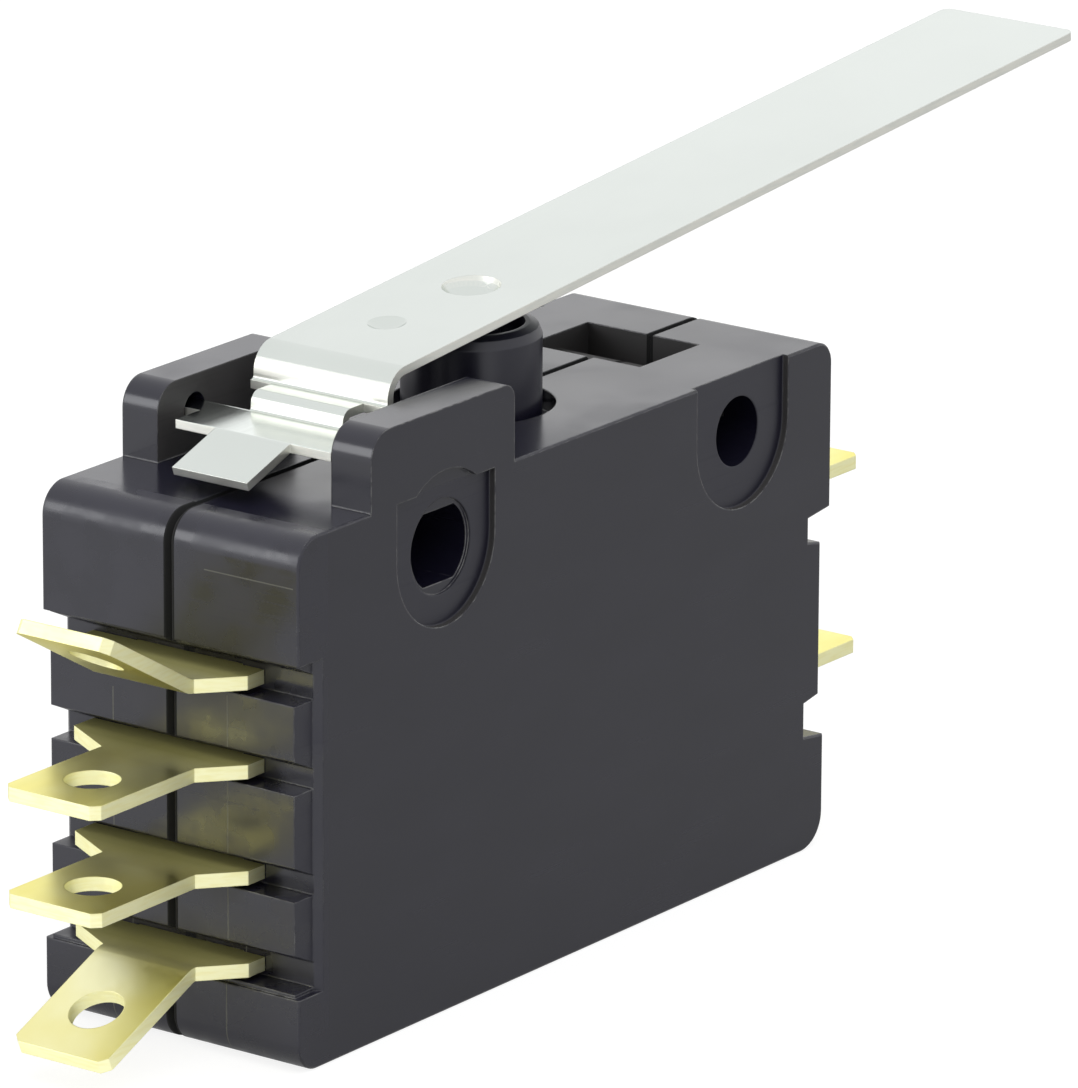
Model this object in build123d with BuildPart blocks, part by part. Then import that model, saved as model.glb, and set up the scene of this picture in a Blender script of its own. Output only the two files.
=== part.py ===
from build123d import *
import os
from math import cos, radians, sin, tan

# Double-pole micro switch with a hinge lever. Millimetres, +Z up.
# Origin: centre of the flat bottom, on the seam between the two housing halves.
# The throw terminals point to -X, the common terminals and the lever's tip to +X.

# Housing
body_length = 49.2
body_depth = 17.5
body_height = 30.0
side_wall = 1.6
floor_wall = 2.4
throw_wall = 4.6
common_wall = 4.2
chamber_head_room = 1.0
face_edge = 0.1
seam_lip = 0.25
corner_radii = {"top_left": 1.7, "bottom_left": 1.6, "top_right": 1.3, "bottom_right": 2.0}
clearance = 0.05

left = -body_length / 2
right = body_length / 2
half_depth = body_depth / 2
pocket_depth = half_depth - side_wall

# Height of each terminal strip's middle: the upper pole hangs from the top, the lower one stands
# on the bottom, and each pole's throw terminals lie above and below its common terminal
upper_common_drop = 10.8
upper_nc_rise = 2.2
upper_no_drop = 2.8
lower_common_height = 8.0
lower_nc_rise = 2.4
lower_no_drop = 2.85
upper_common_height = body_height - upper_common_drop
upper_nc_height = upper_common_height + upper_nc_rise
upper_no_height = upper_common_height - upper_no_drop
lower_nc_height = lower_common_height + lower_nc_rise
lower_no_height = lower_common_height - lower_no_drop
chamber_top = upper_nc_height + chamber_head_room

# Stepped right end: a notch round each common terminal, and where its floor lies inside the end
upper_overhang = 0.3
middle_setback = 0.6
lower_setback = 0.1
lower_notch_below = 1.4
lower_notch_above = 1.1
upper_notch_below = 1.0
upper_notch_above = 0.9
lower_notch_depth = 2.0
upper_notch_depth = 1.8
notch_slope = 0.25
lower_notch = (lower_common_height - lower_notch_below, lower_common_height + lower_notch_above)
upper_notch = (upper_common_height - upper_notch_below, upper_common_height + upper_notch_above)

# Terminals: brass strip
strip_thickness = 0.8
tab_width = 6.35
tab_length = 10.3
tab_hole_radius = 1.55
tab_hole_from_tip = 3.65
tab_corner = 0.45
upper_nc_bend = 30.0
lower_no_bend = -23.0
bend_distance = 2.1
bend_radius = 1.2
front_wing_half_width = 5.1
rear_wing_half_width = 6.6
wing_taper_start = 1.9
front_wing_corner = 0.3
neck_half_width = 3.6
shoulder_half_width = 4.6
shoulder_length = 1.95
arm_half_width = 3.2
arm_reach = 12.2
common_tab_length = 11.4

# Slots across the left end, one for each throw terminal
slot_depth = 1.8
slot_below_strip = 0.7
outer_slot_height = 2.3
inner_slot_height = 2.0
slot_mouth_slope = 0.85
slot_draft = 0.5
block_setback = 0.17
end_relief_width = 1.75
end_relief_depth = 0.42
end_relief_slope = 0.4
end_relief_drop = 0.2
slot_inner_depth = slot_depth - half_depth * tan(radians(slot_draft))

# Mounting holes and the flat-topped recess round each
left_hole_from_left = 13.08
hole_spacing = 27.69
hole_drop = 3.47
left_hole_x = left + left_hole_from_left
right_hole_x = left_hole_x + hole_spacing
hole_z = body_height - hole_drop
left_hole_radius = 2.475
left_hole_flats = 4.15
left_hole_rim_radius = 2.7
left_hole_rim_depth = 0.15
right_hole_radius = 2.025
recess_radius = 4.4
recess_depth = 0.4

# Well in the top, over the right hole's tube
well_before_hole = 2.57
well_after_hole = 3.18
well_front = 3.45
well_rear = 4.35
well_depth = 5.6
well_left = right_hole_x - well_before_hole
well_right = right_hole_x + well_after_hole
well_floor = body_height - well_depth
tube_radius = 2.55

# Hinge axis, and the ears round it: left side, right side and top of each
hinge_from_left = 10.3
hinge_rise = 2.35
hinge_x = left + hinge_from_left
hinge_z = body_height + hinge_rise
front_ear_before = 3.9
front_ear_after = 8.95
front_ear_rise = 4.42
rear_ear_before = 3.25
rear_ear_after = 9.0
rear_ear_rise = 4.3
front_ear = (hinge_x - front_ear_before, hinge_x + front_ear_after, body_height + front_ear_rise)
rear_ear = (hinge_x - rear_ear_before, hinge_x + rear_ear_after, body_height + rear_ear_rise)
front_ear_thickness = 2.7
rear_ear_thickness = 2.45
ear_left_radius = 1.6
ear_right_radius = 0.9
ear_hole_radius = 0.925
ear_skin = 1.0

# Lever: bent steel strip, its middle line given from the hinge to the tip
lever_thickness = 0.5
lever_half_width = 4.6
tongue_reach = 6.67
tongue_fall = 1.29
tongue_root_reach = 2.96
tongue_tip = (hinge_x - tongue_reach, hinge_z - tongue_fall)
tongue_root_x = hinge_x - tongue_root_reach
tongue_half_width = 2.55
lug_half_width = 5.3
pivot_tab_width = 1.6
pivot_tab_reach = 7.4
first_web_reach = 1.15
first_web_rise = 1.05
second_web_reach = 3.25
second_web_rise = 1.85
first_web_x = hinge_x + first_web_reach
shelf_z = hinge_z + first_web_rise
shelf_half_width = 3.15
second_web_x = hinge_x + second_web_reach
arm_root_z = shelf_z + second_web_rise
arm_angle = 4.9
lever_reach = 69.9
lever_tip_x = hinge_x + lever_reach
lever_tip_corner = 0.6
tongue_bend_radius = 0.8
web_bend_radius = 0.45
arm_bend_radius = 1.4
press_dimple_radius = 1.67
press_dimple_depth = 1.1
spot_dimple_reach = 9.6
spot_dimple_x = hinge_x + spot_dimple_reach
spot_dimple_y = 0.45
spot_dimple_radius = 1.1
spot_dimple_depth = 0.45

# Plunger, with its flange below the roof
plunger_from_left = 27.02
plunger_x = left + plunger_from_left
plunger_radius = 3.95
plunger_rise = 4.65
plunger_top = body_height + plunger_rise
plunger_rim_bevels = [(0, 0.7), (0.2, 0.2), (0.7, 0)]
plunger_ring_radius = 3.0
plunger_ring_depth = 1.5
plunger_post_radius = 1.6
plunger_crown_rise = 1.6
plunger_crown_z = body_height + plunger_crown_rise
plunger_bore_radius = 2.7
flange_radius = 5.2
flange_thickness = 1.2
roof_thickness = 2.6
roof_z = body_height - roof_thickness
roof_well_radius = 4.72
roof_well_depth = 1.2
roof_well_z = body_height - roof_well_depth
plunger_room = 7.5
press_gap = 0.05

# Slider below the plunger, and the two bars that drive the snap springs
slider_plate_thickness = 1.2
slider_hole_radius = 2.6
cheek_inner = 2.4
cheek_outer = 3.15
cheek_half_length = 1.5
cheek_drop = 0.4
cheek_bottom = lower_common_height - cheek_drop
drive_bar_radius = 0.5
drive_bar_lift = 0.9

# Seat bridge and return spring
bridge_half_length = 10.5
bridge_half_width = 2.0
bridge_hang = 1.0
bridge_thickness = 1.2
bridge_bottom = chamber_top - bridge_hang
bridge_top = bridge_bottom + bridge_thickness
return_wire_width = 0.5
return_wire_height = 0.4
return_coil_radius = 2.0
return_turns = 2.5

# Snap mechanism: knife edge, blade, contacts and snap spring of each pole
knife_from_left = 22.1
knife_x = left + knife_from_left
notch_mouth = 0.5
notch_apex = 0.2
notch_half_height = 0.3
rail_inner = 3.4
rail_web = 3.4
blade_thickness = 0.4
blade_web_length = 2.6
blade_tongue_half_width = 1.3
blade_tongue_length = 2.0
blade_notch_half_width = 0.8
blade_notch_depth = 0.6
contact_from_left = 9.8
contact_x = left + contact_from_left
contact_radius = 1.5
contact_height = 0.8
contact_shank_radius = 0.7
moving_contact_radius = 1.3
contact_travel = 1.0
contact_gap = 0.02
snap_leaf_thickness = 0.2
snap_leaf_half_width = 0.7
snap_leaf_bow = 1.1
snap_leaf_gap = 0.03

# Ribs that hold the common rails, and the pegs that key the halves together
rail_half_width = 5.05
rib_inner = 4.0
knife_rib_reach = 2.9
web_rib_reach = 14.4
knife_rib_x = knife_x + knife_rib_reach
web_rib_x = knife_x + web_rib_reach
rib_thickness = 1.6
peg_radius = 1.2
peg_length = 2.5
peg_play = 0.05
socket_extra = 0.3
top_peg_from_left = 5.5
top_peg_drop = 5.2
low_peg_inset = 1.7
low_peg_rise = 0.5
peg_places = [
    (left + top_peg_from_left, body_height - top_peg_drop),
    (right - common_wall - low_peg_inset, floor_wall + low_peg_rise),
]
peg_boss = 3.6
peg_boss_height = 2.1

throw_heights = [lower_no_height, lower_nc_height, upper_no_height, upper_nc_height]
common_heights = [lower_common_height, upper_common_height]


# One half of the housing as both halves share it, from the seam to the front face
with BuildPart() as half_shell:
    with BuildSketch(Plane.XZ) as end_view:
        with BuildLine():
            Polyline(
                (left, 0),
                (right - lower_setback, 0),
                (right - lower_setback, lower_notch[0]),
                (right - lower_notch_depth, lower_notch[0] + notch_slope),
                (right - lower_notch_depth, lower_notch[1] - notch_slope),
                (right - middle_setback, lower_notch[1]),
                (right - middle_setback, upper_notch[0]),
                (right - upper_notch_depth, upper_notch[0] + notch_slope),
                (right - upper_notch_depth, upper_notch[1] - notch_slope),
                (right + upper_overhang, upper_notch[1]),
                (right + upper_overhang, body_height),
                (left, body_height),
                close=True,
            )
        make_face()
        bottom_corners = end_view.vertices().group_by(Axis.Y)[0].sort_by(Axis.X)
        fillet(bottom_corners[0], corner_radii["bottom_left"])
        bottom_corners = end_view.vertices().group_by(Axis.Y)[0].sort_by(Axis.X)
        fillet(bottom_corners[-1], corner_radii["bottom_right"])
        top_corners = end_view.vertices().group_by(Axis.Y)[-1].sort_by(Axis.X)
        fillet(top_corners[0], corner_radii["top_left"])
        top_corners = end_view.vertices().group_by(Axis.Y)[-1].sort_by(Axis.X)
        fillet(top_corners[-1], corner_radii["top_right"])
    extrude(amount=half_depth)
    chamfer(half_shell.faces().sort_by(Axis.Y)[0].edges(), face_edge)

    # Left end: blocks set back a little, and a drafted slot for each throw terminal
    relief_bottom = lower_no_height - slot_below_strip - end_relief_drop
    relief_top = upper_nc_height - slot_below_strip + outer_slot_height
    relief_middle = (relief_bottom + relief_top) / 2
    relief_height = relief_top - relief_bottom
    with BuildSketch(Plane.XZ):
        with Locations((left, relief_middle)):
            Rectangle(2 * block_setback, relief_height)
    extrude(amount=half_depth, mode=Mode.SUBTRACT)
    with BuildSketch(Plane.XY.offset(relief_bottom)):
        with BuildLine():
            Polyline(
                (left - end_relief_depth, -half_depth - end_relief_depth),
                (left - end_relief_depth, -half_depth + end_relief_depth),
                (left + end_relief_width, -half_depth + end_relief_depth),
                (left + end_relief_width + end_relief_slope, -half_depth),
                (left + end_relief_width + end_relief_slope, -half_depth - end_relief_depth),
                close=True,
            )
        make_face()
    extrude(amount=relief_height, mode=Mode.SUBTRACT)
    for height in throw_heights:
        outer = height in (lower_no_height, upper_nc_height)
        slot_height = outer_slot_height if outer else inner_slot_height
        slot_bottom = height - slot_below_strip
        slot_top = slot_bottom + slot_height
        with BuildSketch(Plane.XZ.offset(half_depth)):
            with BuildLine():
                Polyline(
                    (left - slot_depth, slot_bottom),
                    (left + slot_depth, slot_bottom),
                    (left + slot_depth, slot_top - slot_mouth_slope),
                    (left, slot_top),
                    (left - slot_depth, slot_top + slot_mouth_slope),
                    close=True,
                )
            make_face()
        extrude(amount=-half_depth, taper=slot_draft, mode=Mode.SUBTRACT)

    # Chamber for the contacts, with the plunger's room above it
    with BuildSketch(Plane.XZ):
        chamber_middle = (left + throw_wall + right - common_wall) / 2
        with Locations((chamber_middle, (floor_wall + chamber_top) / 2)):
            Rectangle(body_length - throw_wall - common_wall, chamber_top - floor_wall)
        with Locations((plunger_x, (chamber_top + roof_z) / 2)):
            Rectangle(2 * plunger_room, roof_z - chamber_top)
    extrude(amount=pocket_depth, mode=Mode.SUBTRACT)

    # Bridge under the return spring, ribs along the rails, bosses in the lower corners
    with BuildSketch(Plane.XZ):
        with Locations((plunger_x, (bridge_bottom + bridge_top) / 2)):
            Rectangle(2 * bridge_half_length, bridge_top - bridge_bottom)
    extrude(amount=bridge_half_width)
    with BuildSketch(Plane.XZ.offset(rib_inner)):
        with Locations((knife_rib_x, (floor_wall + chamber_top) / 2),
                       (web_rib_x, (floor_wall + chamber_top) / 2)):
            Rectangle(rib_thickness, chamber_top - floor_wall)
    extrude(amount=pocket_depth - rib_inner)
    with BuildSketch(Plane.XZ):
        with Locations((left + throw_wall, floor_wall)):
            Rectangle(peg_boss, peg_boss_height, align=(Align.MIN, Align.MIN))
        with Locations((right - common_wall, floor_wall)):
            Rectangle(peg_boss, peg_boss_height, align=(Align.MAX, Align.MIN))
    extrude(amount=pocket_depth)

    # Seats of the brass strips: slit through the wall, slots in the ribs
    for height in throw_heights:
        with BuildSketch(Plane.XY.offset(height)):
            with Locations((left + throw_wall / 2, 0)):
                Rectangle(throw_wall + 2 * clearance, 2 * (neck_half_width + clearance))
        extrude(amount=strip_thickness / 2 + clearance, both=True, mode=Mode.SUBTRACT)
    for height in common_heights:
        with BuildSketch(Plane.XY.offset(height)):
            with Locations((right, 0)):
                Rectangle(2 * (common_wall + clearance), tab_width + 2 * clearance)
            with Locations(((knife_rib_x + web_rib_x) / 2, 0)):
                rail_slot_length = web_rib_x - knife_rib_x + 2 * rib_thickness
                Rectangle(rail_slot_length, 2 * (rail_half_width + clearance))
        extrude(amount=strip_thickness / 2 + clearance, both=True, mode=Mode.SUBTRACT)

    # Bevelled lip along the seam, on both ends, the top and the bottom
    seam = half_shell.edges().filter_by(GeomType.LINE).filter_by_position(Axis.Y, -clearance, clearance)
    seam = seam.filter_by(lambda edge: edge.length > slot_depth + clearance)
    left_end = seam.filter_by_position(Axis.X, left - clearance, left + block_setback + clearance)
    right_start = right - middle_setback - clearance
    right_end = seam.filter_by_position(Axis.X, right_start, right + upper_overhang + clearance)
    bottom = seam.filter_by_position(Axis.Z, -clearance, clearance)
    top = seam.filter_by_position(Axis.Z, body_height - clearance, body_height + clearance)
    chamfer(left_end + right_end + bottom + top, seam_lip)


# The two halves together, for what crosses the seam: ears, well, roof bore, holes
with BuildPart() as body:
    add(half_shell.part)
    mirror(half_shell.part, about=Plane.XZ)

    ear_root_z = body_height - corner_radii["top_left"] / 2
    for ear, outer_y, thickness in [
        (front_ear, half_depth, front_ear_thickness),
        (rear_ear, -half_depth, -rear_ear_thickness),
    ]:
        ear_left, ear_right, ear_top = ear
        with BuildSketch(Plane.XZ.offset(outer_y)) as ear_face:
            with Locations((ear_left, ear_root_z)):
                Rectangle(ear_right - ear_left, ear_top - ear_root_z, align=Align.MIN)
            upper = ear_face.vertices().group_by(Axis.Y)[-1].sort_by(Axis.X)
            fillet(upper[0], ear_left_radius)
            upper = ear_face.vertices().group_by(Axis.Y)[-1].sort_by(Axis.X)
            fillet(upper[-1], ear_right_radius)
        extrude(amount=-thickness)
    with BuildSketch(Plane.XZ):
        with Locations((hinge_x, hinge_z)):
            Circle(ear_hole_radius)
    extrude(amount=half_depth - ear_skin, both=True, mode=Mode.SUBTRACT)

    with BuildSketch(Plane.XY.offset(body_height)):
        with Locations((well_left, -well_front)):
            Rectangle(well_right - well_left, well_front + well_rear, align=Align.MIN)
    extrude(amount=well_floor - body_height, mode=Mode.SUBTRACT)
    with BuildSketch(Plane.XZ.offset(well_front)):
        with Locations((right_hole_x, hole_z)):
            Circle(tube_radius)
    extrude(amount=-well_front - well_rear)

    with BuildSketch(Plane.XY.offset(roof_z)):
        with Locations((plunger_x, 0)):
            Circle(plunger_radius + clearance)
    extrude(amount=body_height - roof_z, mode=Mode.SUBTRACT)
    with BuildSketch(Plane.XY.offset(roof_well_z)):
        with Locations((plunger_x, 0)):
            Circle(roof_well_radius)
    extrude(amount=body_height - roof_well_z, mode=Mode.SUBTRACT)

    # Recess round each mounting hole on both faces, then the holes right through
    for face_y in (half_depth, -half_depth):
        inward = -recess_depth if face_y > 0 else recess_depth
        rim_inward = -left_hole_rim_depth if face_y > 0 else left_hole_rim_depth
        with BuildSketch(Plane.XZ.offset(face_y)):
            with Locations((left_hole_x, hole_z), (right_hole_x, hole_z)):
                Circle(recess_radius)
                Rectangle(2 * recess_radius, body_height - hole_z, align=(Align.CENTER, Align.MIN))
        extrude(amount=inward, mode=Mode.SUBTRACT)
        with BuildSketch(Plane.XZ.offset(face_y + inward)):
            with Locations((left_hole_x, hole_z)):
                Circle(left_hole_rim_radius)
        extrude(amount=rim_inward, mode=Mode.SUBTRACT)
    with BuildSketch(Plane.XZ):
        with Locations((left_hole_x, hole_z)):
            Circle(left_hole_radius)
            Rectangle(2 * left_hole_radius, left_hole_flats, mode=Mode.INTERSECT)
        with Locations((right_hole_x, hole_z)):
            Circle(right_hole_radius)
    extrude(amount=half_depth, both=True, mode=Mode.SUBTRACT)


# Front half, with its pegs
with BuildPart() as front_housing:
    add(body.part)
    split(bisect_by=Plane.XZ, keep=Keep.TOP)
    with BuildSketch(Plane.XZ):
        with Locations(*peg_places):
            Circle(peg_radius)
    extrude(amount=-peg_length)
front_housing.part.label = "front_housing"

# Rear half, with the sockets
with BuildPart() as rear_housing:
    add(body.part)
    split(bisect_by=Plane.XZ, keep=Keep.BOTTOM)
    with BuildSketch(Plane.XZ):
        with Locations(*peg_places):
            Circle(peg_radius + peg_play)
    extrude(amount=-peg_length - socket_extra, mode=Mode.SUBTRACT)
rear_housing.part.label = "rear_housing"


# Hinge lever: the folded strip seen from the side, trimmed to its plan, then dimpled
arm_slope = tan(radians(arm_angle))
arm_tip_z = arm_root_z + (lever_tip_x - second_web_x) * arm_slope
with BuildPart() as lever:
    with BuildSketch(Plane.XZ):
        with BuildLine():
            FilletPolyline(
                tongue_tip,
                (tongue_root_x, hinge_z),
                (first_web_x, hinge_z),
                (first_web_x, shelf_z),
                (second_web_x, shelf_z),
                (second_web_x, arm_root_z),
                (lever_tip_x, arm_tip_z),
                radius=[tongue_bend_radius] + 3 * [web_bend_radius] + [arm_bend_radius],
            )
        trace(line_width=lever_thickness)
    extrude(amount=pivot_tab_reach, both=True)
    pivot_tab_left = hinge_x - pivot_tab_width / 2
    pivot_tab_right = hinge_x + pivot_tab_width / 2
    arm_left = second_web_x - lever_thickness
    with BuildSketch(Plane.XY.offset(body_height)) as plan:
        with BuildLine():
            Polyline(
                (tongue_tip[0] - lever_thickness, 0),
                (tongue_tip[0] - lever_thickness, tongue_half_width),
                (tongue_root_x, tongue_half_width),
                (tongue_root_x, lug_half_width),
                (pivot_tab_left, lug_half_width),
                (pivot_tab_left, pivot_tab_reach),
                (pivot_tab_right, pivot_tab_reach),
                (pivot_tab_right, shelf_half_width),
                (arm_left, shelf_half_width),
                (arm_left, lever_half_width),
                (lever_tip_x + lever_thickness, lever_half_width),
                (lever_tip_x + lever_thickness, 0),
            )
            mirror(about=Plane.XZ)
        make_face()
    extrude(amount=arm_tip_z, mode=Mode.INTERSECT)
    tip_corners = lever.edges().filter_by(Axis.Z, tolerance=2 * arm_angle).group_by(Axis.X)[-1]
    fillet(tip_corners, lever_tip_corner)
    for dimple_x, dimple_y, opening, depth in [
        (plunger_x, 0, press_dimple_radius, press_dimple_depth),
        (spot_dimple_x, spot_dimple_y, spot_dimple_radius, spot_dimple_depth),
    ]:
        hollow_radius = (opening**2 + depth**2) / (2 * depth)
        centre_rise = hollow_radius - depth + lever_thickness / 2
        arm_z = arm_root_z + (dimple_x - second_web_x) * arm_slope
        bump_radius = hollow_radius + lever_thickness
        dimple_plane = Plane(
            origin=(dimple_x, dimple_y, arm_z),
            x_dir=(cos(radians(arm_angle)), 0, sin(radians(arm_angle))),
            z_dir=(0, -1, 0),
        )
        with BuildSketch(dimple_plane):
            with Locations((0, centre_rise)):
                Circle(bump_radius)
            with Locations((0, 0)):
                Rectangle(bump_radius, 2 * bump_radius, align=(Align.MIN, Align.MAX), mode=Mode.INTERSECT)
        revolve(axis=Axis(dimple_plane.origin, dimple_plane.y_dir))
        with Locations(dimple_plane.from_local_coords((0, centre_rise, 0))):
            Sphere(hollow_radius, mode=Mode.SUBTRACT)
lever.part.label = "lever"

# Where the lever's press dimple ends, and so where the plunger's post begins
press_hollow = (press_dimple_radius**2 + press_dimple_depth**2) / (2 * press_dimple_depth)
press_centre_z = (
    arm_root_z
    + (plunger_x - second_web_x) * arm_slope
    + (press_hollow - press_dimple_depth + lever_thickness / 2) * cos(radians(arm_angle))
)
post_top = press_centre_z - press_hollow - lever_thickness - press_gap

# Plunger: turned shape with a flange that stops under the roof
flange_top = roof_z - 2 * clearance
flange_bottom = flange_top - flange_thickness
rim = [
    (plunger_x + plunger_radius - inset, plunger_top - drop)
    for inset, drop in plunger_rim_bevels
]
with BuildPart() as plunger:
    with BuildSketch(Plane.XZ):
        with BuildLine():
            Polyline(
                (plunger_x, plunger_crown_z),
                (plunger_x + plunger_bore_radius, plunger_crown_z),
                (plunger_x + plunger_bore_radius, flange_bottom),
                (plunger_x + flange_radius, flange_bottom),
                (plunger_x + flange_radius, flange_top),
                (plunger_x + plunger_radius, flange_top),
                *rim,
                (plunger_x + plunger_ring_radius, plunger_top),
                (plunger_x + plunger_ring_radius, plunger_top - plunger_ring_depth),
                (plunger_x + plunger_post_radius, plunger_top - plunger_ring_depth),
                (plunger_x + plunger_post_radius, post_top),
                (plunger_x, post_top),
                close=True,
            )
        make_face()
    revolve(axis=Axis((plunger_x, 0, 0), (0, 0, 1)))
plunger.part.label = "plunger"

# Slider: ring plate under the flange with two cheeks down past both poles
slider_top = flange_bottom
slider_bottom = slider_top - slider_plate_thickness
with BuildPart() as slider:
    with BuildSketch(Plane.XY.offset(slider_bottom)):
        with Locations((plunger_x, 0)):
            Circle(flange_radius)
            Circle(slider_hole_radius, mode=Mode.SUBTRACT)
    extrude(amount=slider_plate_thickness)
    with BuildSketch(Plane.XY.offset(cheek_bottom)):
        cheek_middle = (cheek_inner + cheek_outer) / 2
        with Locations((plunger_x, cheek_middle), (plunger_x, -cheek_middle)):
            Rectangle(2 * cheek_half_length, cheek_outer - cheek_inner)
    extrude(amount=slider_top - cheek_bottom)
    with BuildSketch(Plane.XZ):
        for height in common_heights:
            with Locations((plunger_x, height + drive_bar_lift)):
                Circle(drive_bar_radius)
    extrude(amount=cheek_middle, both=True)
slider.part.label = "slider"


# Return spring of flat wire, standing on the bridge and pushing the plunger up
with BuildPart() as plunger_spring:
    return_height = plunger_crown_z - bridge_top - return_wire_height
    with BuildLine():
        coil = Helix(
            pitch=return_height / return_turns,
            height=return_height,
            radius=return_coil_radius,
            center=(plunger_x, 0, bridge_top + return_wire_height / 2),
        )
    with BuildSketch(Plane(origin=coil @ 0, x_dir=(1, 0, 0), z_dir=coil % 0)):
        Rectangle(return_wire_width, return_wire_height)
    sweep(is_frenet=True)
plunger_spring.part.label = "plunger_spring"


def throw_terminal(label, height, tab_bend):
    """Brass strip from its solder tab, through the left end, to the contact inside."""
    bend_x = left - bend_distance
    reach = tab_length - bend_distance
    run = (cos(radians(tab_bend)), sin(radians(tab_bend)))
    tip = (bend_x - reach * run[0], height + reach * run[1])
    with BuildPart() as terminal:
        with BuildSketch(Plane.XZ):
            with BuildLine():
                if tab_bend:
                    FilletPolyline((left + arm_reach, height), (bend_x, height), tip, radius=bend_radius)
                else:
                    Line((left + arm_reach, height), tip)
            trace(line_width=strip_thickness)
        extrude(amount=rear_wing_half_width, both=True)
        with BuildSketch(Plane.XY):
            with BuildLine():
                Polyline(
                    (left - 2 * tab_length, 0),
                    (left - 2 * tab_length, tab_width / 2),
                    (left + slot_inner_depth, tab_width / 2),
                    (left + slot_inner_depth, neck_half_width),
                    (left + throw_wall + clearance, neck_half_width),
                    (left + throw_wall + clearance, shoulder_half_width),
                    (left + throw_wall + shoulder_length, shoulder_half_width),
                    (left + throw_wall + shoulder_length, arm_half_width),
                    (left + arm_reach, arm_half_width),
                    (left + arm_reach, 0),
                )
                mirror(about=Plane.XZ)
            make_face()
            for corner_x, wing_y, tab_y in [
                (left + front_wing_corner, -front_wing_half_width, -tab_width / 2),
                (left, rear_wing_half_width, tab_width / 2),
            ]:
                with BuildLine():
                    Polyline(
                        (left - wing_taper_start, tab_y),
                        (corner_x, wing_y),
                        (left + slot_inner_depth, wing_y),
                        (left + slot_inner_depth, tab_y),
                        close=True,
                    )
                make_face()
        extrude(amount=body_height, mode=Mode.INTERSECT)
        tip_face = terminal.faces().sort_by(Axis.X)[0]
        chamfer(tip_face.edges().filter_by(Axis.Y, reverse=True), tab_corner)
        tab_plane = Plane(origin=(tip[0], 0, tip[1]), x_dir=(run[0], 0, -run[1]), z_dir=(run[1], 0, run[0]))
        with BuildSketch(tab_plane):
            with Locations((tab_hole_from_tip, 0)):
                Circle(tab_hole_radius)
        extrude(amount=strip_thickness, both=True, mode=Mode.SUBTRACT)
    terminal.part.label = label
    return terminal.part


def fixed_contact(label, height, side):
    """Silver button welded to a throw terminal, on the side that the blade meets."""
    with BuildPart() as contact:
        with BuildSketch(Plane.XY.offset(height + side * strip_thickness / 2)):
            with Locations((contact_x, 0)):
                Circle(contact_radius)
        extrude(amount=side * contact_height)
    contact.part.label = label
    return contact.part


def common_terminal(label, height):
    """Brass strip from its tab, through the right end, to two rails with knife-edge notches."""
    rail_start = knife_x - notch_mouth
    web_start = right - common_wall - clearance - rail_web
    with BuildPart() as terminal:
        with BuildSketch(Plane.XY.offset(height)):
            with BuildLine():
                Polyline(
                    (web_start, 0),
                    (web_start, rail_inner),
                    (rail_start, rail_inner),
                    (rail_start, rail_half_width),
                    (right - common_wall - clearance, rail_half_width),
                    (right - common_wall - clearance, tab_width / 2),
                    (right + common_tab_length, tab_width / 2),
                    (right + common_tab_length, 0),
                )
                mirror(about=Plane.XZ)
            make_face()
        extrude(amount=strip_thickness / 2, both=True)
        with BuildSketch(Plane.XZ):
            with BuildLine():
                Polyline(
                    (rail_start, height - notch_half_height),
                    (knife_x + notch_apex, height),
                    (rail_start, height + notch_half_height),
                    close=True,
                )
            make_face()
        extrude(amount=rail_half_width, both=True, mode=Mode.SUBTRACT)
        chamfer(terminal.edges().filter_by(Axis.Z).group_by(Axis.X)[-1], tab_corner)
        with BuildSketch(Plane.XY.offset(height)):
            with Locations((right + common_tab_length - tab_hole_from_tip, 0)):
                Circle(tab_hole_radius)
        extrude(amount=strip_thickness, both=True, mode=Mode.SUBTRACT)
    terminal.part.label = label
    return terminal.part


def blade(label, height):
    """Bronze frame between the rails, from its knife edges to the moving contact."""
    blade_left = contact_x - moving_contact_radius
    web_right = blade_left + blade_web_length
    tongue_end = web_right + blade_tongue_length
    with BuildPart() as frame:
        with BuildSketch(Plane.XY.offset(height)):
            with BuildLine():
                Polyline(
                    (blade_left, 0),
                    (blade_left, arm_half_width),
                    (web_right, rail_half_width),
                    (knife_x, rail_half_width),
                    (knife_x, rail_inner + clearance),
                    (web_right + moving_contact_radius, rail_inner + clearance),
                    (web_right, arm_half_width - moving_contact_radius / 2),
                    (web_right, blade_tongue_half_width),
                    (tongue_end, blade_tongue_half_width),
                    (tongue_end, blade_notch_half_width),
                    (tongue_end - blade_notch_depth, blade_notch_half_width),
                    (tongue_end - blade_notch_depth, 0),
                )
                mirror(about=Plane.XZ)
            make_face()
            with Locations((contact_x, 0)):
                Circle(contact_shank_radius, mode=Mode.SUBTRACT)
        extrude(amount=blade_thickness / 2, both=True)
        knife_face = frame.faces().filter_by(Axis.X).sort_by(Axis.X)[-2:]
        chamfer(
            knife_face.edges().filter_by(Axis.Y),
            length=blade_thickness / 2 - clearance / 2,
            length2=notch_mouth,
        )
    frame.part.label = label
    return frame.part


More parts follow.
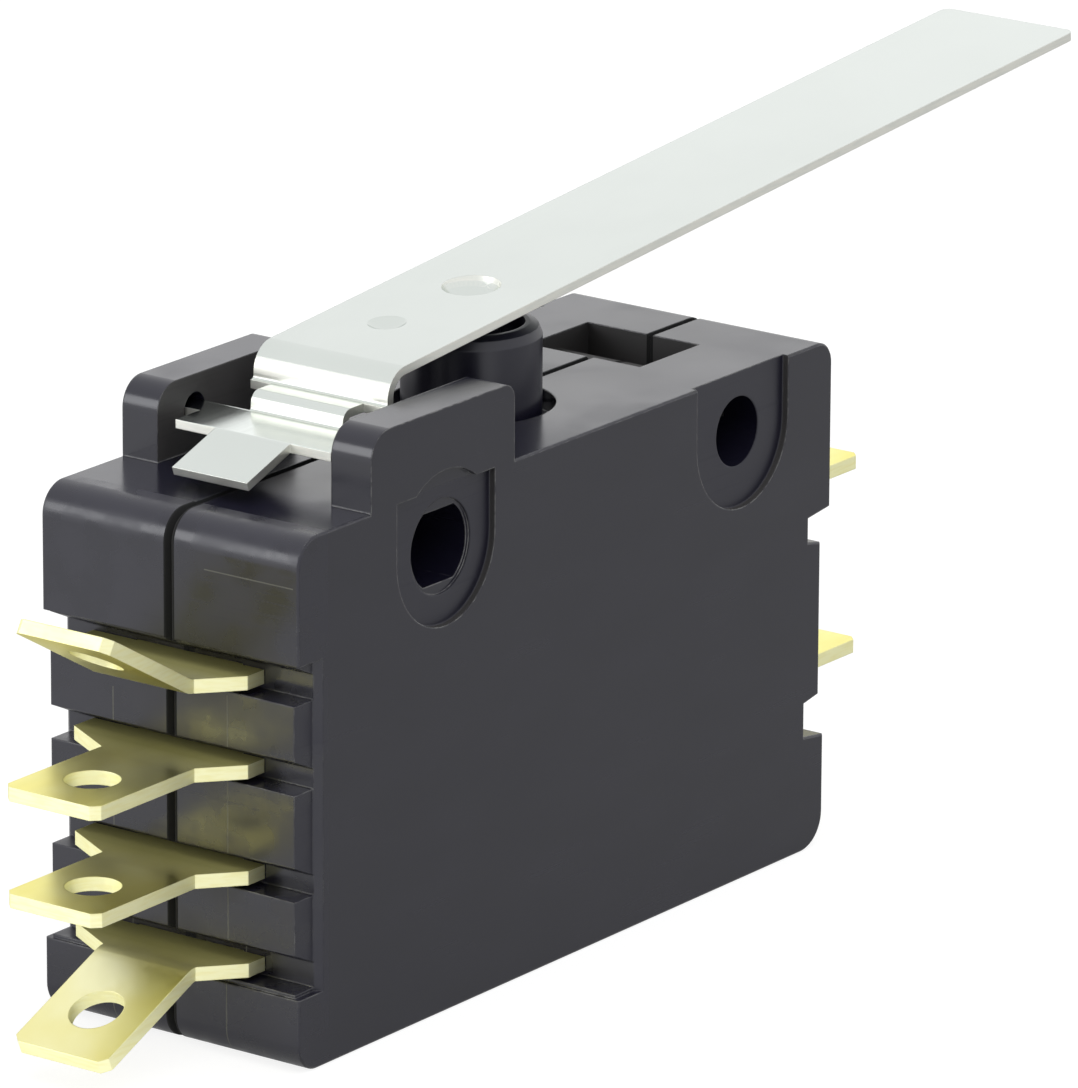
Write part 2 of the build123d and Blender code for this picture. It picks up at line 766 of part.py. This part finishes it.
def moving_contact(label, height, nc_height, no_height):
    """Silver rivet through the blade, with a head above and below."""
    top = nc_height - strip_thickness / 2 - contact_height - contact_gap
    bottom = no_height + strip_thickness / 2 + contact_height + contact_travel
    edge_x = contact_x + moving_contact_radius
    shank_x = contact_x + contact_shank_radius
    blade_top = height + blade_thickness / 2
    blade_bottom = height - blade_thickness / 2
    with BuildPart() as contact:
        with BuildSketch(Plane.XZ):
            with BuildLine():
                Polyline(
                    (contact_x, bottom),
                    (edge_x, bottom),
                    (edge_x, blade_bottom),
                    (shank_x, blade_bottom),
                    (shank_x, blade_top),
                    (edge_x, blade_top),
                    (edge_x, top),
                    (contact_x, top),
                    close=True,
                )
            make_face()
        revolve(axis=Axis((contact_x, 0, 0), (0, 0, 1)))
    contact.part.label = label
    return contact.part


def snap_spring(label, height):
    """Bowed leaf pressed between the notch in the blade's tongue and the slider's bar."""
    notch_x = contact_x - moving_contact_radius + blade_web_length + blade_tongue_length - blade_notch_depth
    start = (notch_x + snap_leaf_gap, height)
    end = (plunger_x - drive_bar_radius - snap_leaf_gap, height + drive_bar_lift)
    crest = ((start[0] + end[0]) / 2, (start[1] + end[1]) / 2 + snap_leaf_bow)
    with BuildPart() as spring:
        with BuildSketch(Plane.XZ):
            with BuildLine():
                ThreePointArc(start, crest, end)
            trace(line_width=snap_leaf_thickness)
        extrude(amount=snap_leaf_half_width, both=True)
    spring.part.label = label
    return spring.part


pieces = [
    front_housing.part, rear_housing.part, lever.part, plunger.part, slider.part,
    plunger_spring.part,
    throw_terminal("upper_nc_terminal", upper_nc_height, upper_nc_bend),
    throw_terminal("upper_no_terminal", upper_no_height, 0),
    throw_terminal("lower_nc_terminal", lower_nc_height, 0),
    throw_terminal("lower_no_terminal", lower_no_height, lower_no_bend),
    common_terminal("upper_common_terminal", upper_common_height),
    common_terminal("lower_common_terminal", lower_common_height),
    fixed_contact("upper_nc_contact", upper_nc_height, -1),
    fixed_contact("upper_no_contact", upper_no_height, 1),
    fixed_contact("lower_nc_contact", lower_nc_height, -1),
    fixed_contact("lower_no_contact", lower_no_height, 1),
    blade("upper_blade", upper_common_height),
    blade("lower_blade", lower_common_height),
    moving_contact("upper_moving_contact", upper_common_height, upper_nc_height, upper_no_height),
    moving_contact("lower_moving_contact", lower_common_height, lower_nc_height, lower_no_height),
    snap_spring("upper_snap_spring", upper_common_height),
    snap_spring("lower_snap_spring", lower_common_height),
]

os.makedirs("parts", exist_ok=True)
for piece in pieces:
    export_step(piece, f"parts/{piece.label}.step")
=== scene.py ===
import math

import bmesh
import bpy
from mathutils import Matrix, Vector


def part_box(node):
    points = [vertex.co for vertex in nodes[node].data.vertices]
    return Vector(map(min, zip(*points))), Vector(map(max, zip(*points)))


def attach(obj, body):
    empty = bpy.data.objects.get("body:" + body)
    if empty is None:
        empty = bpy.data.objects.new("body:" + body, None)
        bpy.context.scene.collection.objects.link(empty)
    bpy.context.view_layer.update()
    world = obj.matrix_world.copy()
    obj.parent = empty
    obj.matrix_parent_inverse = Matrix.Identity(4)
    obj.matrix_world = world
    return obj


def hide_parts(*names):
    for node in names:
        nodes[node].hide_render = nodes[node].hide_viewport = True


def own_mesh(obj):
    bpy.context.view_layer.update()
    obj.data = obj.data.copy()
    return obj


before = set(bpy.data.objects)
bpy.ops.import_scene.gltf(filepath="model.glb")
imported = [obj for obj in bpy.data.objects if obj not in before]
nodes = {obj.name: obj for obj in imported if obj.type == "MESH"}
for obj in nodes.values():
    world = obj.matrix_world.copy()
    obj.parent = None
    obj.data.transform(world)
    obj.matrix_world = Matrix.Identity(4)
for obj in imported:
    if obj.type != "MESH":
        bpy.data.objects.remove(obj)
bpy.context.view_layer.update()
bpy.context.scene.view_settings.view_transform = "Standard"


# The photograph's view. A long lens stands more than half a metre off the left front corner,
# turned 53.7 degrees from the depth of the switch and looking down by 17 degrees.
camera_place = Vector((-0.43228, -0.32404, 0.18779))
camera_turn = math.radians(53.699)
camera_dip = math.radians(17.029)
camera_roll = math.radians(0.289)
camera_sensor = 36.0
camera_lens = 337.1
camera_nearest = 0.01

level_right = Vector((math.cos(camera_turn), -math.sin(camera_turn), 0))
sight = Vector((
    math.sin(camera_turn) * math.cos(camera_dip),
    math.cos(camera_turn) * math.cos(camera_dip),
    -math.sin(camera_dip),
))
level_up = level_right.cross(sight)
camera_right = math.cos(camera_roll) * level_right + math.sin(camera_roll) * level_up
camera_up = math.cos(camera_roll) * level_up - math.sin(camera_roll) * level_right
camera_data = bpy.data.cameras.new("view")
camera_data.sensor_width = camera_sensor
camera_data.lens = camera_lens
camera_data.clip_start = camera_nearest
camera = bpy.data.objects.new("view", camera_data)
camera.matrix_world = Matrix((camera_right, camera_up, -sight)).transposed().to_4x4()
camera.location = camera_place
bpy.context.scene.collection.objects.link(camera)
bpy.context.scene.camera = camera


# The table and the light. The switch stands on a plain white sheet under soft studio light. The
# eye sees the sheet and the room as white, and gloss sees the sheet brighter on the left. The two
# lamps overhead light the switch without showing in its gloss.
floor_size = 3.0
floor_place = (0.3, 0.3, -0.00002)
floor_colour = (0.25, 0.25, 0.25, 1)
floor_roughness = 0.9
floor_specular = 0.2
floor_seen = 0.85
floor_mirrored = (0.85, 0.36)
bright_floor_ends = (-0.034, -0.022)
room_light = 0.5
room_seen = 1.0
lamp_target = Vector((0, 0, 0.02))
lamps = {
    "key_panel": ((-0.25, -0.55, 0.75), 0.6, 2.2, False),
    "left_rear_panel": ((-0.62, 0.45, 0.24), 0.36, 1.3, True),
    "right_rear_panel": ((0.9, 0.66, 0.36), 0.2, 0.04, True),
    "top_panel": ((-0.1, 0.0, 0.9), 0.6, 2.0, False),
}


def new_material(name):
    """A node material, with its node tree and its shader."""
    material = bpy.data.materials.new(name)
    material.use_nodes = True
    return material, material.node_tree, material.node_tree.nodes["Principled BSDF"]


def plug(tree, value, socket):
    """Links an output to a socket, or sets the socket to a number or a colour."""
    if isinstance(value, bpy.types.NodeSocket):
        tree.links.new(value, socket)
    else:
        socket.default_value = value


def combine(tree, first, second, operation="ADD"):
    """A Math node on two outputs or numbers."""
    node = tree.nodes.new("ShaderNodeMath")
    node.operation = operation
    for socket, value in zip(node.inputs, (first, second)):
        plug(tree, value, socket)
    return node.outputs[0]


def spread(tree, value, low, high, start=0.35, end=0.65):
    """Maps an output's range, or else the middle of a noise, to a range from low to high."""
    node = tree.nodes.new("ShaderNodeMapRange")
    for name, number in (("From Min", start), ("From Max", end), ("To Min", low), ("To Max", high)):
        node.inputs[name].default_value = number
    tree.links.new(value, node.inputs["Value"])
    return node.outputs[0]


def axes_of(tree, vector):
    """The X, Y and Z of a vector output."""
    parts = tree.nodes.new("ShaderNodeSeparateXYZ")
    tree.links.new(vector, parts.inputs[0])
    return parts.outputs


half_floor = floor_size / 2
floor_mesh = bpy.data.meshes.new("floor")
floor_mesh.from_pydata(
    [(x * half_floor, y * half_floor, 0) for x, y in ((-1, -1), (1, -1), (1, 1), (-1, 1))],
    [], [(0, 1, 2, 3)],
)
floor = bpy.data.objects.new("floor", floor_mesh)
floor.location = floor_place
bpy.context.scene.collection.objects.link(floor)
sheet_white, tree, shader = new_material("sheet_white")
shader.inputs["Base Color"].default_value = floor_colour
shader.inputs["Roughness"].default_value = floor_roughness
shader.inputs["Specular IOR Level"].default_value = floor_specular
rays = tree.nodes.new("ShaderNodeLightPath")
here = tree.nodes.new("ShaderNodeNewGeometry")
sideways = axes_of(tree, here.outputs["Position"])["X"]
fade = spread(tree, sideways, *floor_mirrored, *bright_floor_ends)
seen = combine(tree, rays.outputs["Is Camera Ray"], floor_seen, "MULTIPLY")
mirrored = combine(tree, rays.outputs["Is Glossy Ray"], fade, "MULTIPLY")
glow = tree.nodes.new("ShaderNodeEmission")
tree.links.new(combine(tree, seen, mirrored), glow.inputs["Strength"])
both = tree.nodes.new("ShaderNodeAddShader")
tree.links.new(shader.outputs[0], both.inputs[0])
tree.links.new(glow.outputs[0], both.inputs[1])
tree.links.new(both.outputs[0], tree.nodes["Material Output"].inputs["Surface"])
floor_mesh.materials.append(sheet_white)

world = bpy.data.worlds.new("studio")
world.use_nodes = True
bpy.context.scene.world = world
tree = world.node_tree
rays = tree.nodes.new("ShaderNodeLightPath")
seen = combine(tree, rays.outputs["Is Camera Ray"], rays.outputs["Is Glossy Ray"], "MAXIMUM")
room = tree.nodes["Background"]
room.inputs["Color"].default_value = (1, 1, 1, 1)
tree.links.new(spread(tree, seen, room_light, room_seen, 0, 1), room.inputs["Strength"])

for name, (place, size, power, shows_in_gloss) in lamps.items():
    lamp = bpy.data.lights.new(name, "AREA")
    lamp.size = size
    lamp.energy = power
    holder = bpy.data.objects.new(name, lamp)
    holder.visible_glossy = shows_in_gloss
    holder.location = place
    holder.rotation_euler = (lamp_target - Vector(place)).to_track_quat("-Z", "Y").to_euler()
    bpy.context.scene.collection.objects.link(holder)


# The two halves of the case. Black phenolic, pressed hot in a polished mould, keeps a satin skin
# with faint flow marks, a fine grain and a few handling scratches, and its edges are slightly
# round. In its recesses, between its ears and in its well the mould was left unpolished, so the
# skin there is rougher. The lighter grey on the recess walls, inside the ears and in the upper
# well is painted light.
mm = 0.001
phenolic_black = (0.0080, 0.0075, 0.0175, 1)
phenolic_grey = (0.0145, 0.0140, 0.0250, 1)
phenolic_worn = (0.25, 0.25, 0.24, 1)
phenolic_tint = (0.96, 0.97, 1.0, 1)
phenolic_ior = 1.6
phenolic_gloss = (0.15, 0.23)
noise_detail = 3
case_edge = 0.14 * mm
edge_samples = 6
edge_lean = (0.75, 0.98)
flow_size = 140
flow_stretch = (1, 1, 2.5)
flow_shares = (0, 0.5)
flow_depth = 0.01 * mm
pore_size = 5200
pore_depth = 0.0015 * mm
scratch_size = 90
scratch_stretch = (1, 1, 40)
scratch_turn = (0.5, 0.3, 0.2)
scratch_noise = (0.6, 0.68)
scratch_dull = (0, 0.07)
wear_size = 1400
wear_noise = (0.42, 0.58)
wear_shares = (0.1, 1.0)

left_end_x = -22 * mm
left_end_dull = 0.26
blotch_size = 420
blotch_noise = (0.4, 0.6)
blotch_shares = (0.15, 0.8)
line_grey = (0.12, 0.12, 0.105, 1)
line_half_width = 0.035 * mm
line_dull = 0.2
painted_light_grey = (0.038, 0.036, 0.036, 1)
recess_ends = ((-17.5 * mm, -5.5 * mm), (11.0 * mm, 22.0 * mm))
recess_heights = (14 * mm, 29.97 * mm)
recess_floors = (8.30 * mm, 8.38 * mm)
recess_floor_dull = 0.2
recess_walls = (8.38 * mm, 8.71 * mm)
recess_wall_dull = 0.4
ear_floor = 30.05 * mm
ear_insides = (-6.07 * mm, 6.32 * mm)
ear_dull = 0.3
well_ends = (12.5 * mm, 20.5 * mm)
well_sides = (-6 * mm, 6 * mm)
well_heights = (26.5 * mm, 29.95 * mm)
well_dull = 0.4
seam_painted_shade = (0.002, 0.002, 0.002, 1)
seam_shade_half_width = 0.22 * mm
left_seam_shade_extra = 0.14 * mm
seam_shade_dull = 0.8


def grain(tree, size, stretch=(1, 1, 1), turn=(0, 0, 0)):
    """Noise fixed to the piece, so many features to the metre, drawn out along the small axes."""
    place = tree.nodes.new("ShaderNodeTexCoord")
    mapping = tree.nodes.new("ShaderNodeMapping")
    mapping.inputs["Scale"].default_value = stretch
    mapping.inputs["Rotation"].default_value = turn
    noise = tree.nodes.new("ShaderNodeTexNoise")
    noise.inputs["Scale"].default_value = size
    noise.inputs["Detail"].default_value = noise_detail
    tree.links.new(place.outputs["Object"], mapping.inputs["Vector"])
    tree.links.new(mapping.outputs[0], noise.inputs["Vector"])
    return noise.outputs["Fac"]


def blend_colours(tree, share, first, second):
    """A colour between two, by an output from 0 to 1."""
    node = tree.nodes.new("ShaderNodeMix")
    node.data_type = "RGBA"
    tree.links.new(share, node.inputs["Factor"])
    colours = [socket for socket in node.inputs if socket.type == "RGBA"]
    for socket, value in zip(colours, (first, second)):
        plug(tree, value, socket)
    return next(socket for socket in node.outputs if socket.type == "RGBA")


def rounded_edge(tree, radius):
    """The normal of a surface whose sharp edges are rounded off by a small radius."""
    edge = tree.nodes.new("ShaderNodeBevel")
    edge.samples = edge_samples
    edge.inputs["Radius"].default_value = radius
    return edge.outputs[0]


def relief(tree, height, depth, normal):
    """A bump of so many metres from a noise, on top of another normal."""
    bump = tree.nodes.new("ShaderNodeBump")
    bump.inputs["Distance"].default_value = depth
    tree.links.new(height, bump.inputs["Height"])
    tree.links.new(normal, bump.inputs["Normal"])
    return bump.outputs[0]


def edge_share(tree, normal):
    """One on a rounded edge and nought on the flat, from how far the rounded normal leans."""
    geometry = tree.nodes.new("ShaderNodeNewGeometry")
    product = tree.nodes.new("ShaderNodeVectorMath")
    product.operation = "DOT_PRODUCT"
    tree.links.new(normal, product.inputs[0])
    tree.links.new(geometry.outputs["True Normal"], product.inputs[1])
    return spread(tree, product.outputs["Value"], 1, 0, *edge_lean)


def phenolic(name, gloss, edge_radius):
    """Black moulded phenolic with the given range of roughness."""
    material, tree, shader = new_material(name)
    flow = grain(tree, flow_size, flow_stretch)
    edge = rounded_edge(tree, edge_radius)
    mottled = blend_colours(tree, spread(tree, flow, *flow_shares), phenolic_black, phenolic_grey)
    broken = spread(tree, grain(tree, wear_size), *wear_shares, *wear_noise)
    worn = combine(tree, edge_share(tree, edge), broken, "MULTIPLY")
    colour = blend_colours(tree, worn, mottled, phenolic_worn)
    tree.links.new(colour, shader.inputs["Base Color"])
    scratches = grain(tree, scratch_size, scratch_stretch, scratch_turn)
    scratched = spread(tree, scratches, *scratch_dull, *scratch_noise)
    roughness = combine(tree, spread(tree, flow, *gloss), scratched)
    tree.links.new(roughness, shader.inputs["Roughness"])
    skin = relief(tree, grain(tree, pore_size), pore_depth, edge)
    tree.links.new(relief(tree, flow, flow_depth, skin), shader.inputs["Normal"])
    shader.inputs["IOR"].default_value = phenolic_ior
    shader.inputs["Specular Tint"].default_value = phenolic_tint
    return material


def own_axes(tree):
    """A point's X, Y and Z, fixed to the piece."""
    place = tree.nodes.new("ShaderNodeTexCoord")
    return axes_of(tree, place.outputs["Object"])


def within(tree, *ranges):
    """One where each value lies inside its own range, nought elsewhere."""
    share = 1
    for value, (low, high) in ranges:
        above = combine(tree, value, low, "GREATER_THAN")
        below = combine(tree, value, high, "LESS_THAN")
        share = combine(tree, share, combine(tree, above, below, "MULTIPLY"), "MULTIPLY")
    return share


def lay_over(material, share, colour, roughness):
    """Lays a colour and more roughness over a material, where the share is one."""
    tree = material.node_tree
    shader = tree.nodes["Principled BSDF"]
    under = shader.inputs["Base Color"].links[0].from_socket
    tree.links.new(blend_colours(tree, share, under, colour), shader.inputs["Base Color"])
    under = shader.inputs["Roughness"].links[0].from_socket
    more = combine(tree, share, roughness, "MULTIPLY")
    tree.links.new(combine(tree, under, more), shader.inputs["Roughness"])


def dress(material, *names):
    """Gives CAD nodes their finished material."""
    for name in names:
        mesh = nodes[name].data
        mesh.materials.clear()
        mesh.materials.append(material)


case = phenolic("case_phenolic", phenolic_gloss, case_edge)
tree = case.node_tree
along, across, up = own_axes(tree)
depth = combine(tree, across, 0, "ABSOLUTE")
on_left_end = combine(tree, along, left_end_x, "LESS_THAN")
blotches = spread(tree, grain(tree, blotch_size), *blotch_shares, *blotch_noise)
blotches = combine(tree, on_left_end, blotches, "MULTIPLY")
lay_over(case, blotches, phenolic_grey, left_end_dull)

mould_lines = 0
for axis, middle, run, start, end in (
    (across, -3.80, up, 0.5, 20.5),
    (across, 4.02, up, 0.5, 19.5),
    (up, 27.33, across, -8.4, -2.4),
):
    width = (middle * mm - line_half_width, middle * mm + line_half_width)
    line = within(tree, (axis, width), (run, (start * mm, end * mm)))
    mould_lines = combine(tree, mould_lines, line, "MAXIMUM")
mould_lines = combine(tree, mould_lines, on_left_end, "MULTIPLY")
lay_over(case, mould_lines, line_grey, line_dull)

# Recess floors are laid over with plain black and more roughness. Recess walls get a lighter grey,
# which is painted light, and more roughness.
in_recess = 0
for ends in recess_ends:
    in_recess = combine(tree, in_recess, within(tree, (along, ends), (up, recess_heights)))
for depths, colour, dull in (
    (recess_floors, phenolic_black, recess_floor_dull),
    (recess_walls, painted_light_grey, recess_wall_dull),
):
    in_place = combine(tree, in_recess, within(tree, (depth, depths)), "MULTIPLY")
    lay_over(case, in_place, colour, dull)

# Inside the ears and in the upper part of the well, a lighter grey is painted light, with more
# roughness.
over_top = combine(tree, up, ear_floor, "GREATER_THAN")
between_ears = combine(tree, over_top, within(tree, (across, ear_insides)), "MULTIPLY")
lay_over(case, between_ears, painted_light_grey, ear_dull)
in_well = within(tree, (along, well_ends), (across, well_sides), (up, well_heights))
lay_over(case, in_well, painted_light_grey, well_dull)
# The seam groove between the halves is painted near black and made rough. This is painted shade
# that makes the groove look deeper, and on the left end it reaches wider.
seam_shade_reach = combine(tree, on_left_end, left_seam_shade_extra, "MULTIPLY")
seam_shade_reach = combine(tree, seam_shade_reach, seam_shade_half_width)
lay_over(case, combine(tree, depth, seam_shade_reach, "LESS_THAN"), seam_painted_shade, seam_shade_dull)
dress(case, "front_housing", "rear_housing")


# The six terminals. Half-hard brass strip, blanked and bent in one tool: its faces keep the fine
# grain of rolling along X, and its sheared edges are paler and finely torn. Next to the case the
# faces are made duller, because they would mirror the open slots above them.
brass_face = (0.90, 0.84, 0.36, 1)
brass_pale = (0.97, 0.95, 0.60, 1)
brass_edge = (1.0, 0.99, 0.66, 1)
brass_grazing = (1.0, 0.95, 0.55, 1)
brass_gloss = (0.28, 0.33)
roll_size = 300
roll_stretch = (1, 12, 12)
roll_depth = 0.0004 * mm
tarnish_size = 130
sheared_lean = (0.35, 0.6)
tear_size = 6000
tear_stretch = (0.12, 0.12, 1)
tear_noise = (0.42, 0.62)
tear_shares = (0, 0.3)
cut_roughness = 0.3
terminal_edge = 0.08 * mm
dull_ends = (25.0 * mm, 27.6 * mm)
dull_brass = (0.45, 0.43, 0.18, 1)
dull_roughness = 0.4
dull_skin = 0.4


def sheared(tree):
    """One on the cut edges of level strip and nought on its faces, from the true normal's lean."""
    geometry = tree.nodes.new("ShaderNodeNewGeometry")
    upward = axes_of(tree, geometry.outputs["True Normal"])["Z"]
    return spread(tree, combine(tree, upward, 0, "ABSOLUTE"), 1, 0, *sheared_lean)


def rolled_strip(name, face, pale, cut, gloss, edge_radius):
    """Rolled metal strip: streaked faces, bright and finely torn cut edges."""
    material, tree, shader = new_material(name)
    roll = grain(tree, roll_size, roll_stretch)
    tarnish = spread(tree, grain(tree, tarnish_size), 0, 1)
    torn = spread(tree, grain(tree, tear_size, tear_stretch), *tear_shares, *tear_noise)
    on_cut = sheared(tree)
    face_colour = blend_colours(tree, tarnish, face, pale)
    cut_colour = blend_colours(tree, torn, cut, face)
    colour = blend_colours(tree, on_cut, face_colour, cut_colour)
    tree.links.new(colour, shader.inputs["Base Color"])
    rough_cut = combine(tree, on_cut, cut_roughness, "MULTIPLY")
    roughness = combine(tree, spread(tree, roll, *gloss), rough_cut)
    tree.links.new(roughness, shader.inputs["Roughness"])
    normal = relief(tree, roll, roll_depth, rounded_edge(tree, edge_radius))
    tree.links.new(normal, shader.inputs["Normal"])
    shader.inputs["Metallic"].default_value = 1
    return material


brass = rolled_strip(
    "terminal_brass", brass_face, brass_pale, brass_edge, brass_gloss, terminal_edge,
)
tree = brass.node_tree
shader = tree.nodes["Principled BSDF"]
shader.inputs["Specular Tint"].default_value = brass_grazing
from_middle = combine(tree, own_axes(tree)["X"], 0, "ABSOLUTE")
near_case = spread(tree, from_middle, 1, 0, *dull_ends)
on_face = combine(tree, 1, sheared(tree), "SUBTRACT")
dull = combine(tree, near_case, on_face, "MULTIPLY")
lay_over(brass, dull, dull_brass, dull_roughness)
hidden_metal = combine(tree, dull, dull_skin, "MULTIPLY")
tree.links.new(combine(tree, 1, hidden_metal, "SUBTRACT"), shader.inputs["Metallic"])
dress(brass, *[name for name in nodes if name.endswith("_terminal")])


# The contacts. Fine silver: buttons welded to the throw terminals, and rivets headed over on
# both faces of the blades, dulled a little by the air in the case.
silver_bright = (0.86, 0.85, 0.82, 1)
silver_dull = (0.66, 0.64, 0.58, 1)
silver_gloss = (0.2, 0.35)
silver = rolled_strip(
    "contact_silver", silver_bright, silver_dull, silver_bright, silver_gloss, terminal_edge,
)
dress(silver, *[name for name in nodes if name.endswith("_contact")])


# The blades. Hard phosphor bronze strip, thin and springy, redder than the brass beside it. Each
# is blanked as an open frame and rocks in the notches of its common terminal's two rails.
bronze_face = (0.70, 0.42, 0.20, 1)
bronze_pale = (0.78, 0.50, 0.27, 1)
bronze_cut = (0.84, 0.58, 0.34, 1)
bronze_gloss = (0.22, 0.34)
blade_edge = 0.04 * mm
bronze = rolled_strip(
    "blade_bronze", bronze_face, bronze_pale, bronze_cut, bronze_gloss, blade_edge,
)
dress(bronze, "upper_blade", "lower_blade")


# The springs. Bright drawn steel: a flat wire coil, which stands on the bridge and shortens as the
# plunger goes down on it, and a bowed leaf that throws each blade over.
steel_bright = (0.60, 0.60, 0.61, 1)
steel_dull = (0.46, 0.46, 0.48, 1)
steel_gloss = (0.18, 0.32)
coil_turns = 2.5
coil_steps = 100
wire_width = 0.5 * mm
wire_height = 0.4 * mm
wire_corner = 0.08 * mm

steel = rolled_strip(
    "spring_steel", steel_bright, steel_dull, steel_bright, steel_gloss, blade_edge,
)
dress(steel, "upper_snap_spring", "lower_snap_spring")

coil_low, coil_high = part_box("plunger_spring")
coil_x = (coil_low[0] + coil_high[0]) / 2
coil_radius = (coil_high[0] - coil_low[0] - wire_width) / 2
coil_rise = coil_high[2] - coil_low[2] - wire_height
wire_outline = []
for side, top in ((1, 1), (-1, 1), (-1, -1), (1, -1)):
    corner = [
        (side * wire_width / 2, top * (wire_height / 2 - wire_corner)),
        (side * (wire_width / 2 - wire_corner), top * wire_height / 2),
    ]
    wire_outline += corner if side == top else corner[::-1]
coil = bmesh.new()
rings = []
for step in range(coil_steps + 1):
    share = step / coil_steps
    angle = 2 * math.pi * coil_turns * share
    middle = coil_low[2] + wire_height / 2 + coil_rise * share
    rings.append([
        coil.verts.new((
            coil_x + (coil_radius + out) * math.cos(angle),
            (coil_radius + out) * math.sin(angle),
            middle + rise,
        ))
        for out, rise in wire_outline
    ])
for ring, following in zip(rings, rings[1:]):
    for index in range(len(ring)):
        past = (index + 1) % len(ring)
        coil.faces.new((ring[index], ring[past], following[past], following[index]))
coil.faces.new(rings[0])
coil.faces.new(rings[-1])
bmesh.ops.recalc_face_normals(coil, faces=coil.faces)
coil_mesh = bpy.data.meshes.new("plunger_coil")
coil.to_mesh(coil_mesh)
coil.free()
coil_mesh.materials.append(steel)
plunger_coil = bpy.data.objects.new("plunger_coil", coil_mesh)
bpy.context.scene.collection.objects.link(plunger_coil)
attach(plunger_coil, "housing")
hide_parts("plunger_spring")
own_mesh(plunger_coil)


# The plunger and the slider under it. The same black phenolic, each moulded in one piece, in a
# plainer mould that leaves its skin duller than the case.
plunger_gloss = (0.28, 0.36)
slider_gloss = (0.3, 0.4)
button_edge = 0.1 * mm
dress(phenolic("plunger_phenolic", plunger_gloss, button_edge), "plunger")
dress(phenolic("slider_phenolic", slider_gloss, button_edge), "slider")


# The lever. Steel strip, blanked, bent over at its hinge and pressed with two dimples, then
# nickel plated, so that it is bright all over with a faint grain along its length.
nickel_face = (0.685, 0.725, 0.695, 1)
nickel_pale = (0.70, 0.74, 0.71, 1)
nickel_cut = (0.86, 0.86, 0.80, 1)
nickel_gloss = (0.16, 0.2)
lever_edge = 0.06 * mm
nickel = rolled_strip(
    "lever_nickel", nickel_face, nickel_pale, nickel_cut, nickel_gloss, lever_edge,
)
dress(nickel, "lever")
